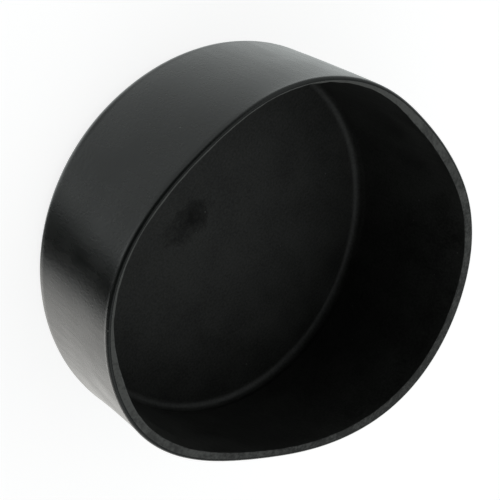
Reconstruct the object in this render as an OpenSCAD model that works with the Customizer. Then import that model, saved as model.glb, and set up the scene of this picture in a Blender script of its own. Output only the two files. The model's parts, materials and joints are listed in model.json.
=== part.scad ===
// Push-on end cap for round pipe, made as one soft, flexible moulding.
// The closed end lies on z = 0 and the open mouth faces +Z.

/* [Socket] */
// Bore of the cap, equal to the outside diameter of the pipe that it covers
socket_d = 114.3; // [60:0.1:220]
// Depth of the socket, from the mouth to the inner floor
socket_depth = 45; // [20:0.5:120]

/* [Moulding] */
// Thickness of the side wall
wall_t = 2.8; // [2:0.1:6]
// Thickness of the closed end
floor_t = 2.8; // [2:0.1:6]

/* [Edges] */
// Radius round the outside of the closed end
base_edge_r = 4.6; // [0.5:0.1:5]
// Radius in the corner between the inner floor and the wall
floor_fillet_r = 2.6; // [0.5:0.1:8]
// Radius on the outer edge of the mouth
rim_edge_r = 1; // [0.3:0.1:1.8]

/* [Hidden] */
$fn = 96;

socket_r = socket_d / 2;
outer_r = socket_r + wall_t;
cap_h = floor_t + socket_depth;
// How far a cutting shape runs past the face that it opens
cut_over = 1;

// What is trimmed off a square upper corner to leave it rounded. The centre of
// the round is at the origin.
module corner_trim(round_r) {
    difference() {
        square(round_r + cut_over);
        circle(r = round_r);
    }
}

// Half section of the outside: a disc with both of its outer edges rounded.
module outside_section() {
    difference() {
        square([outer_r, cap_h]);
        translate([outer_r - rim_edge_r, cap_h - rim_edge_r]) corner_trim(rim_edge_r);
        translate([outer_r - base_edge_r, base_edge_r])
            mirror([0, 1]) corner_trim(base_edge_r);
    }
}

// Half section of the socket: open at the mouth, with a fillet round its floor.
module socket_section() {
    difference() {
        translate([0, floor_t]) square([socket_r, socket_depth + cut_over]);
        translate([socket_r - floor_fillet_r, floor_t + floor_fillet_r])
            mirror([0, 1]) corner_trim(floor_fillet_r);
    }
}

// The moulding: a round cup with a flat closed end and a plain socket.
module cap() {
    color([0.09, 0.10, 0.10])
        rotate_extrude()
            difference() {
                outside_section();
                socket_section();
            }
}

cap();
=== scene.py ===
"""Soft black push-on pipe cap, standing on its closed end in a pale studio."""

import json
import math

import bpy
from mathutils import Matrix, Vector, noise


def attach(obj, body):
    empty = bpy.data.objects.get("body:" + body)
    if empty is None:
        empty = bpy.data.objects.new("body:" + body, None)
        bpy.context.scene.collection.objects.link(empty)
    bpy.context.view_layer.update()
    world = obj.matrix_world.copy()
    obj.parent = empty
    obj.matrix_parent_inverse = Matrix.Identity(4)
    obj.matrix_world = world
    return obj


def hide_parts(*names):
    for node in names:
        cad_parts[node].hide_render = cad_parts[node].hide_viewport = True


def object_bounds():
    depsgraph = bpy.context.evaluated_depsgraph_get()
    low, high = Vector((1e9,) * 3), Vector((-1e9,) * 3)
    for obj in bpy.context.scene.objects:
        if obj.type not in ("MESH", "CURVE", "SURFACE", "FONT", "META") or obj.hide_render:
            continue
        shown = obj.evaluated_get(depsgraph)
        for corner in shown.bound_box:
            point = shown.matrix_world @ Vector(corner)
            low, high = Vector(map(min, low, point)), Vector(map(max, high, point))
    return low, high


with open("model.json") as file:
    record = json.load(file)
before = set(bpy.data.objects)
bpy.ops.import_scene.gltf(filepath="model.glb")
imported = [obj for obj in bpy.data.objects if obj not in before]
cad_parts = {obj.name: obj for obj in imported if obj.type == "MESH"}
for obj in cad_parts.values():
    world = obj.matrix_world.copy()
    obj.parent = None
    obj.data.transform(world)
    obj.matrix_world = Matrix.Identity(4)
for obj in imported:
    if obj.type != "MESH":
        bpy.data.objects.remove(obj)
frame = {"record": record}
cad_low, cad_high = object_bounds()

MM = 0.001
TAU = 2 * math.pi

# Driving sizes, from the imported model
SOCKET = next(m for m in frame["record"]["mounts"] if m["name"] == "socket")
OUTER_R = cad_high.x
CAP_H = cad_high.z
WALL_T = OUTER_R - SOCKET["dims"]["r_mm"] * MM

# The moulding's section
FLOOR_T = 2.7 * MM
BASE_EDGE_R = 4.6 * MM
FLOOR_FILLET_R = 2.6 * MM
RIM_EDGE_R = 1.0 * MM
RIM_SLOPE = math.tan(math.radians(6))
INNER_EDGE_R = 0.1 * MM

# Angles are seen from the mouth, clockwise from +Y, so x is r sin(a) and y is r cos(a).
STEPS_ROUND = 480
# Points along each run of the section, and the gaps left between a straight run and a round
OUTER_FACE_POINTS, BASE_EDGE_POINTS, OUTER_WALL_POINTS = 20, 12, 44
RIM_EDGE_POINTS, RIM_POINTS, INNER_EDGE_POINTS = 11, 7, 4
INNER_WALL_POINTS, FILLET_POINTS, FLOOR_POINTS = 40, 10, 40
FIRST_RING_R = 1 * MM
SMALL_GAP, WIDE_GAP, RIM_GAP = 0.3 * MM, 0.5 * MM, 0.6 * MM
# Where the round on the mouth's outer edge stops, in degrees from level
RIM_EDGE_END = 80

# How far the soft wall stands off a true circle at the mouth and at the closed end, as
# (order, size, angle of a peak in degrees). The numbers of MOUTH_SHAPE, BASE_SHAPE and
# RIM_THICKNESS come from least-squares fits to the edges in the photograph.
MOUTH_SHAPE = (
    (0, -0.04 * MM, 0),
    (1, 1.15 * MM, -64),
    (2, 3.82 * MM, -28),
    (3, 2.11 * MM, 4),
    (4, 0.34 * MM, -39),
    (5, 0.46 * MM, 27),
    (7, 0.17 * MM, 8),
)
BASE_SHAPE = ((0, 0.24 * MM, 0), (2, 0.60 * MM, 88), (3, 0.38 * MM, 49))
# Wall thickness at the foot, and what is added to WALL_T at the mouth, given in the same way
FOOT_THICKNESS = ((0, 3.5 * MM, 0), (2, 1.3 * MM, 115))
RIM_THICKNESS = ((1, 1.39 * MM, 8), (2, 0.41 * MM, -48), (3, 0.15 * MM, 3), (4, 0.32 * MM, 16))
# Where the lip stands out a little further, as (angle, half width in degrees, size)
LIP_BULGES = ((224, 16, 0.35 * MM),)
# Where the lip is thicker, as bulges are given
LIP_LUMPS = ((133, 9, 0.60 * MM), (275, 8, 0.25 * MM))
# Slow waves in the soft wall and floor
WALL_WAVE, WALL_WAVE_SIZE = 0.07 * MM, 15 * MM
FLOOR_WAVE, FLOOR_WAVE_SIZE = 0.16 * MM, 19 * MM
# Shallow dull dent near the middle of the floor: centre, direction, length, width and depth
DENT_AT, DENT_TURN = (0.5 * MM, -12 * MM), -20
DENT_LENGTH, DENT_WIDTH, DENT_DEPTH = 5.5 * MM, 3.8 * MM, 0.2 * MM
# Ragged inner edge of the rim, and how far down the socket it fades away
RAGGED, RAGGED_SIZE, RAGGED_REACH = 0.16 * MM, 3.5 * MM, 1.5 * MM


def wave(angle, terms):
    """Sum of size * cos(order * (angle - peak)), with each peak in degrees."""
    return sum(size * math.cos(order * (angle - math.radians(peak))) for order, size, peak in terms)


def bell(distance, width):
    return math.exp(-((distance / width) ** 2))


def turn_from(angle, degrees):
    """Signed degrees from a direction to an angle, from -180 to 180."""
    return (math.degrees(angle) - degrees + 180) % 360 - 180


def soft_noise(x, y, z, size):
    return noise.noise(Vector((x, y, z)) / size)


def lip(angle, height, spots):
    """Sum of the local spots of the lip at an angle, fading away below the mouth."""
    return height**10 * sum(size * bell(turn_from(angle, at), width) for at, width, size in spots)


def outer_radius(angle, height):
    """Outer radius at a height from 0, the closed end, to 1, the mouth."""
    slump = height**1.5
    x, y = OUTER_R * math.sin(angle), OUTER_R * math.cos(angle)
    return (
        OUTER_R
        + (1 - slump) * wave(angle, BASE_SHAPE)
        + slump * wave(angle, MOUTH_SHAPE)
        + lip(angle, height, LIP_BULGES)
        + WALL_WAVE * soft_noise(x, y, height * CAP_H, WALL_WAVE_SIZE)
    )


def wall_thickness(angle, height):
    """Wall thickness, changing evenly from the foot to the mouth."""
    foot_t = wave(angle, FOOT_THICKNESS)
    mouth_t = WALL_T + wave(angle, RIM_THICKNESS)
    return foot_t + (mouth_t - foot_t) * height + lip(angle, height, LIP_LUMPS)


def floor_height(x, y, edge_r):
    """Height of the socket's floor, which is level where it meets the fillet."""
    turn = math.radians(DENT_TURN)
    dx, dy = x - DENT_AT[0], y - DENT_AT[1]
    along = dx * math.cos(turn) + dy * math.sin(turn)
    across = dy * math.cos(turn) - dx * math.sin(turn)
    dent = DENT_DEPTH * bell(along, DENT_LENGTH) * bell(across, DENT_WIDTH)
    level = 1 - min(1, math.hypot(x, y) / edge_r) ** 6
    return FLOOR_T + level * (FLOOR_WAVE * soft_noise(x, y, 0, FLOOR_WAVE_SIZE) - dent)


def spaced(start, end, count):
    """count values from start to end, both included."""
    return [start + (end - start) * i / (count - 1) for i in range(count)]


def arc(centre_r, centre_z, round_r, from_deg, to_deg, count):
    """Points on a round of the section, as (radius, height)."""
    turns = [math.radians(d) for d in spaced(from_deg, to_deg, count)]
    return [(centre_r + round_r * math.cos(t), centre_z + round_r * math.sin(t)) for t in turns]


def section(angle):
    """Outline of the wall at an angle, as three runs of (radius, height).

    It goes from the middle of the closed end, up the outside, over the rim and down to the
    middle of the socket's floor.
    """
    foot_r = outer_radius(angle, 0)
    mouth_r = outer_radius(angle, 1)
    rim_t = wall_thickness(angle, 1)
    ragged = RAGGED * soft_noise(
        OUTER_R * math.sin(angle), OUTER_R * math.cos(angle), 1, RAGGED_SIZE
    )
    bore_r = mouth_r - rim_t + ragged
    floor_edge_r = foot_r - wall_thickness(angle, 0)
    floor_flat_r = floor_edge_r - FLOOR_FILLET_R

    face_edge_r = foot_r - BASE_EDGE_R
    outside = [(r, 0.0) for r in spaced(FIRST_RING_R, face_edge_r - SMALL_GAP, OUTER_FACE_POINTS)]
    outside += arc(face_edge_r, BASE_EDGE_R, BASE_EDGE_R, -90, 0, BASE_EDGE_POINTS)
    wall_from, wall_to = BASE_EDGE_R + WIDE_GAP, CAP_H - RIM_EDGE_R - WIDE_GAP
    for z in spaced(wall_from, wall_to, OUTER_WALL_POINTS):
        outside.append((outer_radius(angle, z / CAP_H), z))
    flat_from, flat_to = mouth_r - RIM_EDGE_R, bore_r + INNER_EDGE_R
    shoulder_z = CAP_H - (flat_from - flat_to) * RIM_SLOPE
    outside += arc(
        flat_from, shoulder_z - RIM_EDGE_R, RIM_EDGE_R, 0, RIM_EDGE_END, RIM_EDGE_POINTS
    )
    rim = [(r, CAP_H - (r - flat_to) * RIM_SLOPE) for r in spaced(flat_from, flat_to, RIM_POINTS)]
    rim += arc(flat_to, CAP_H - INNER_EDGE_R, INNER_EDGE_R, 90, 180, INNER_EDGE_POINTS)[1:]
    inside = []
    fillet_z = FLOOR_T + FLOOR_FILLET_R
    for z in spaced(CAP_H - RIM_GAP, fillet_z + SMALL_GAP, INNER_WALL_POINTS):
        edge = bell(CAP_H - z, RAGGED_REACH) * ragged
        inside.append((outer_radius(angle, z / CAP_H) - wall_thickness(angle, z / CAP_H) + edge, z))
    inside += arc(floor_flat_r, fillet_z, FLOOR_FILLET_R, 0, -90, FILLET_POINTS)
    for r in spaced(floor_flat_r - WIDE_GAP, FIRST_RING_R, FLOOR_POINTS):
        x, y = r * math.sin(angle), r * math.cos(angle)
        inside.append((r, floor_height(x, y, floor_flat_r)))
    return outside, rim, inside


def build_cap():
    """The whole moulding as one closed mesh, with slots for its skin, rim and socket."""
    vertices = [(0, 0, 0)]
    for step in range(STEPS_ROUND):
        angle = TAU * step / STEPS_ROUND
        outside, rim, inside = section(angle)
        vertices += [
            (r * math.sin(angle), r * math.cos(angle), z) for r, z in outside + rim + inside
        ]
    vertices.append((0, 0, floor_height(0, 0, OUTER_R)))
    per_ring = len(outside) + len(rim) + len(inside)
    run_slots = [0] * len(outside) + [1] * (len(rim) - 1) + [2] * len(inside)
    faces, slots = [], []
    last = len(vertices) - 1
    for step in range(STEPS_ROUND):
        here = 1 + step * per_ring
        there = 1 + (step + 1) % STEPS_ROUND * per_ring
        faces.append((0, here, there))
        slots.append(0)
        for i in range(per_ring - 1):
            faces.append((here + i, here + i + 1, there + i + 1, there + i))
            slots.append(run_slots[i])
        faces.append((here + per_ring - 1, last, there + per_ring - 1))
        slots.append(2)
    mesh = bpy.data.meshes.new("soft_cap")
    mesh.from_pydata(vertices, [], faces)
    mesh.polygons.foreach_set("material_index", slots)
    mesh.polygons.foreach_set("use_smooth", [True] * len(faces))
    mesh.update()
    piece = bpy.data.objects.new("soft_cap", mesh)
    bpy.context.scene.collection.objects.link(piece)
    return piece


# Shader nodes


def add(tree, kind, inputs, **settings):
    """A new shader node. An input that is given another node's output is linked to it."""
    made = tree.nodes.new("ShaderNode" + kind)
    for name, value in settings.items():
        setattr(made, name, value)
    for name, value in inputs.items():
        if isinstance(value, bpy.types.NodeSocket):
            tree.links.new(value, made.inputs[name])
        else:
            made.inputs[name].default_value = value
    return made


def new_material(name):
    material = bpy.data.materials.new(name)
    material.use_nodes = True
    return material, material.node_tree, material.node_tree.nodes["Principled BSDF"]


def grain(tree, size, detail=2, stretch_z=1):
    """Noise with spots of about this size in metres, longer along Z where it is stretched."""
    place = add(tree, "TexCoord", {}).outputs["Object"]
    spread = add(tree, "Mapping", {"Vector": place, "Scale": (1, 1, 1 / stretch_z)})
    made = add(
        tree, "TexNoise", {"Vector": spread.outputs["Vector"], "Scale": 1 / size, "Detail": detail}
    )
    return made.outputs["Fac"]


def mapped(tree, value, low, high, from_low=0.3, from_high=0.7):
    made = add(
        tree,
        "MapRange",
        {"Value": value, "From Min": from_low, "From Max": from_high, "To Min": low, "To Max": high},
    )
    return made.outputs["Result"]


def calc(tree, operation, a, b):
    return add(tree, "Math", {0: a, 1: b}, operation=operation).outputs[0]


def colour_ramp(tree, share, stops):
    """The colour at a share from 0 to 1, blended through stops of (share, colour)."""
    ramp = add(tree, "ValToRGB", {"Fac": share})
    elements = ramp.color_ramp.elements
    while len(elements) < len(stops):
        elements.new(0.5)
    for element, (position, colour) in zip(elements, stops):
        element.position = position
        element.color = (*colour, 1)
    return ramp.outputs["Color"]


def blended(tree, first, second, share):
    """first, changed towards second by a share from 0 to 1."""
    made = add(tree, "Mix", {"Factor": share, "A": first, "B": second})
    return made.outputs["Result"]


def dent_painted_shade(tree):
    """How much painted shade darkens the floor's dent, falling from its middle to 0 with a cloudy
    edge.
    """
    place = add(tree, "TexCoord", {}).outputs["Object"]
    inputs = {
        "Vector": place,
        "Location": (*DENT_AT, FLOOR_T),
        "Rotation": (0, 0, math.radians(DENT_TURN)),
        "Scale": (SHADE_REACH * DENT_LENGTH, SHADE_REACH * DENT_WIDTH, DENT_WIDTH),
    }
    local = add(tree, "Mapping", inputs, vector_type="TEXTURE")
    away = add(tree, "VectorMath", {0: local.outputs["Vector"]}, operation="LENGTH")
    clouds = mapped(tree, grain(tree, 4 * MM), -SHADE_CLOUDS, SHADE_CLOUDS)
    cloudy = calc(tree, "ADD", away.outputs["Value"], clouds)
    return mapped(tree, cloudy, SHADE_SHARE, 0, 0, SHADE_END)


def specks(tree, spacing, radius):
    """1 inside rare round specks of dust, else 0."""
    place = add(tree, "TexCoord", {}).outputs["Object"]
    cells = add(tree, "TexVoronoi", {"Vector": place, "Scale": 1 / spacing})
    return calc(tree, "LESS_THAN", cells.outputs["Distance"], radius / spacing)


def bumped(tree, layers):
    """A normal from layers of (height, depth in metres, strength)."""
    normal = None
    for height, depth, strength in layers:
        made = add(tree, "Bump", {"Height": height, "Distance": depth, "Strength": strength})
        if normal:
            tree.links.new(normal, made.inputs["Normal"])
        normal = made.outputs["Normal"]
    return normal


def skin_material(name, dark, light, rough_low, rough_high, painted_shade_of=None):
    """Moulded soft plastic: cloudy satin, with fine grain, faint draw marks and dust.

    mark, if given, is a function of the node tree that gives how much painted shade darkens the
    surface.
    """
    material, tree, shader = new_material(name)
    clouds = grain(tree, 11 * MM, 4)
    streaks = grain(tree, 1.6 * MM, 2, stretch_z=14)
    fine = grain(tree, 0.7 * MM)
    tone = mapped(tree, blended(tree, clouds, fine, 0.6), 0.25, 0.8, 0.36, 0.64)
    if painted_shade_of:
        # Painted shade over the floor's dent: a darker tone and a lower gloss
        painted_shade = painted_shade_of(tree)
        tone = calc(tree, "SUBTRACT", tone, painted_shade)
        gloss = mapped(tree, painted_shade, GLOSS, SHADED_GLOSS, 0, FULL_SHADE)
        tree.links.new(gloss, shader.inputs["Specular IOR Level"])
    share = calc(tree, "MAXIMUM", tone, specks(tree, 8 * MM, 0.26 * MM))
    colour = colour_ramp(tree, share, ((0, DENT_SHADE_COLOUR), (0.25, dark), (0.8, light), (1, DUST)))
    tree.links.new(colour, shader.inputs["Base Color"])
    rough = mapped(tree, blended(tree, clouds, streaks, 0.5), rough_low, rough_high)
    tree.links.new(rough, shader.inputs["Roughness"])
    normal = bumped(tree, [(streaks, 0.02 * MM, 0.2), (fine, 0.07 * MM, 0.6)])
    tree.links.new(normal, shader.inputs["Normal"])
    return material


def rim_material():
    """Trimmed edge of the mouth: duller and lighter than the skin, with a coarse tooth, and painted
    light on one side and painted shade on the other.
    """
    material, tree, shader = new_material("trimmed_rim")
    patches = grain(tree, 5 * MM, 3)
    tooth = grain(tree, 0.8 * MM, 3)
    place = add(tree, "TexCoord", {}).outputs["Object"]
    # Painted light and shade: the rim's tone is raised towards one side and lowered on the far side
    along = add(tree, "VectorMath", {0: place, 1: Vector(PAINTED_LIGHT_SIDE)}, operation="DOT_PRODUCT")
    painted_light = mapped(tree, along.outputs["Value"], PAINTED_SHADE_TONE, PAINTED_LIGHT_TONE, -OUTER_R, OUTER_R)
    share = mapped(tree, blended(tree, patches, tooth, 0.6), 0.05, 0.95, 0.38, 0.62)
    share = calc(tree, "ADD", share, painted_light)
    colour = colour_ramp(tree, share, ((0, RIM_DARK), (1, RIM_LIGHT)))
    tree.links.new(colour, shader.inputs["Base Color"])
    tree.links.new(mapped(tree, patches, 0.45, 0.62), shader.inputs["Roughness"])
    tree.links.new(bumped(tree, [(tooth, 0.08 * MM, 0.6)]), shader.inputs["Normal"])
    return material


SKIN_DARK, SKIN_LIGHT = (0.0055, 0.0070, 0.0063), (0.0095, 0.0115, 0.0102)
SOCKET_DARK, SOCKET_LIGHT = (0.0110, 0.0113, 0.0104), (0.0410, 0.0418, 0.0391)
RIM_DARK, RIM_LIGHT = (0.020, 0.0203, 0.0192), (0.140, 0.141, 0.135)
DUST = (0.10, 0.10, 0.095)
# The side of the rim that is painted lightest, and what is added to the rim's tone on the far
# side as painted shade and on this one as painted light
PAINTED_LIGHT_SIDE = (-0.34, -0.94, 0)
PAINTED_SHADE_TONE, PAINTED_LIGHT_TONE = -0.4, 0.87
# Colour of the painted shade in the floor's dent
DENT_SHADE_COLOUR = (0.003, 0.003, 0.003)
# The painted shade's reach as a multiple of the dent's size, how cloudy its edge is, and where
# it ends in those reaches
SHADE_REACH, SHADE_CLOUDS, SHADE_END = 1.5, 0.3, 1.2
# What the painted shade takes off the tone in the middle of the dent
SHADE_SHARE = 0.55
# Specular level of skin without painted shade, and of skin whose tone the painted shade lowers by as
# much as FULL_SHADE
GLOSS, SHADED_GLOSS, FULL_SHADE = 0.5, 0.15, 0.6
cap = build_cap()
cap.data.materials.append(skin_material("moulded_skin", SKIN_DARK, SKIN_LIGHT, 0.22, 0.32))
cap.data.materials.append(rim_material())
cap.data.materials.append(
    skin_material("socket_skin", SOCKET_DARK, SOCKET_LIGHT, 0.42, 0.56, dent_painted_shade)
)
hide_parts("cap")
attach(cap, "root")

# Camera: the mouth faces it, turned down to the right in the frame. These numbers come from a
# least-squares fit to the photograph too.
TILT = math.radians(41.2)
ROLL = math.radians(29)
AWAY, RIGHT_OFF, DOWN_OFF = 6.09 * OUTER_R, 0.0434, 0.0278
LENS_MM = 94.22


def place_camera():
    across, along, up = Vector((0, 1, 0)), Vector((1, 0, 0)), Vector((0, 0, 1))
    lean = math.cos(TILT) * across + math.sin(TILT) * up
    right = math.cos(ROLL) * lean - math.sin(ROLL) * along
    down = math.sin(ROLL) * lean + math.cos(ROLL) * along
    forward = math.sin(TILT) * across - math.cos(TILT) * up
    camera = bpy.data.objects.new("camera", bpy.data.cameras.new("camera"))
    bpy.context.scene.collection.objects.link(camera)
    bpy.context.scene.camera = camera
    camera.data.lens = LENS_MM
    camera.data.clip_start = 10 * MM
    mouth_centre = Vector((0, 0, CAP_H))
    place = mouth_centre - AWAY * (forward + RIGHT_OFF * right + DOWN_OFF * down)
    turn = Matrix((right, -down, -forward)).transposed()
    camera.matrix_world = Matrix.Translation(place) @ turn.to_4x4()


place_camera()

# Studio bowl: a flat floor that sweeps up into a wall all round. It is seen by the camera
# only, so that the cap's gloss comes from the light tent below and not from the bowl.
FLOOR_R = 1.2
BOWL_SWEEP_R = 0.6


def build_bowl(steps=64, rings=16):
    vertices = [(0, 0, 0)]
    for turn in spaced(0, math.pi / 2, rings):
        r = FLOOR_R + BOWL_SWEEP_R * math.sin(turn)
        z = BOWL_SWEEP_R * (1 - math.cos(turn))
        for k in range(steps):
            vertices.append((r * math.cos(TAU * k / steps), r * math.sin(TAU * k / steps), z))
    faces = [(0, 1 + k, 1 + (k + 1) % steps) for k in range(steps)]
    for ring in range(rings - 1):
        low, high = 1 + ring * steps, 1 + (ring + 1) * steps
        for k in range(steps):
            beside = (k + 1) % steps
            faces.append((low + k, high + k, high + beside, low + beside))
    mesh = bpy.data.meshes.new("studio_bowl")
    mesh.from_pydata(vertices, [], faces)
    mesh.polygons.foreach_set("use_smooth", [True] * len(faces))
    bowl = bpy.data.objects.new("studio_bowl", mesh)
    bpy.context.scene.collection.objects.link(bowl)
    bowl.visible_glossy = False
    bowl.visible_diffuse = False
    bowl.visible_shadow = False
    material, tree, shader = new_material("pale_floor")
    shader.inputs["Base Color"].default_value = (0.5, 0.5, 0.5, 1)
    shader.inputs["Roughness"].default_value = 1
    shader.inputs["Specular IOR Level"].default_value = 0
    shader.inputs["Emission Color"].default_value = (1, 1, 1, 1)
    shader.inputs["Emission Strength"].default_value = 0.85
    mesh.materials.append(material)


build_bowl()

# Light tent: the light of the room, changed towards each of these in turn. Each has the side
# that it lies on, its spread as the dot products with that side where it starts and where it
# is full, and its strength.
ROOM = 0.54
LIGHTS = (
    ((0.5, 0.1, 0.86), (0.7, 0.98), 0.83),  # lamp overhead
    ((0.55, -0.83, 0), (0.3, 0.62), 0.33),  # dim side of the room
    ((0, -0.85, 0.53), (0.45, 0.85), 0.05),  # dark round the camera
    ((0.05, 0.78, 0.60), (0.5, 0.95), 0.29),  # dim in front of the mouth
    ((-0.38, 0.54, -0.75), (0.28, 1), 0.95),  # backdrop
    ((0, 0, -1), (0.84, 0.95), 1.0),  # under the cap
)
# Pale ground low down on one side, with a black gap beside it
GROUND, GAP = 1.17, 0.0
GROUND_SIDE, GAP_SIDE, DOWN = (0.794, 0.608, 0), (1, -1, 0), (0, 0, -1)
COOL, WARM = (0.95, 1.0, 0.99), (1.0, 0.99, 0.955)


def build_light_tent():
    world = bpy.data.worlds.new("studio")
    bpy.context.scene.world = world
    world.use_nodes = True
    tree = world.node_tree
    direction = add(tree, "TexCoord", {}).outputs["Generated"]

    def towards(axis, from_value, to_value):
        """0 to 1 as the direction turns towards an axis, by its dot product with it."""
        dot = add(
            tree, "VectorMath", {0: direction, 1: Vector(axis).normalized()}, operation="DOT_PRODUCT"
        )
        ramp = add(
            tree,
            "MapRange",
            {"Value": dot.outputs["Value"], "From Min": from_value, "From Max": to_value},
            interpolation_type="SMOOTHSTEP",
        )
        return ramp.outputs["Result"]

    low = towards(DOWN, -0.3, 0.25)
    ground = calc(tree, "MULTIPLY", towards(GROUND_SIDE, 0.2, 0.42), low)
    gap = calc(tree, "MULTIPLY", towards(GROUND_SIDE, -0.12, 0.04), low)
    gap = calc(tree, "MULTIPLY", gap, towards(GAP_SIDE, -0.1, 0.2))
    gap = calc(tree, "MULTIPLY", gap, calc(tree, "SUBTRACT", 1, towards(DOWN, 0.945, 0.985)))
    level = ROOM
    for side, spread, strength in LIGHTS:
        level = blended(tree, level, strength, towards(side, *spread))
    level = blended(tree, level, GAP, gap)
    level = blended(tree, level, GROUND, ground)
    background = tree.nodes["Background"]
    tree.links.new(level, background.inputs["Strength"])
    tree.links.new(colour_ramp(tree, ground, ((0, COOL), (1, WARM))), background.inputs["Color"])


build_light_tent()
bpy.context.scene.view_settings.view_transform = "Standard"
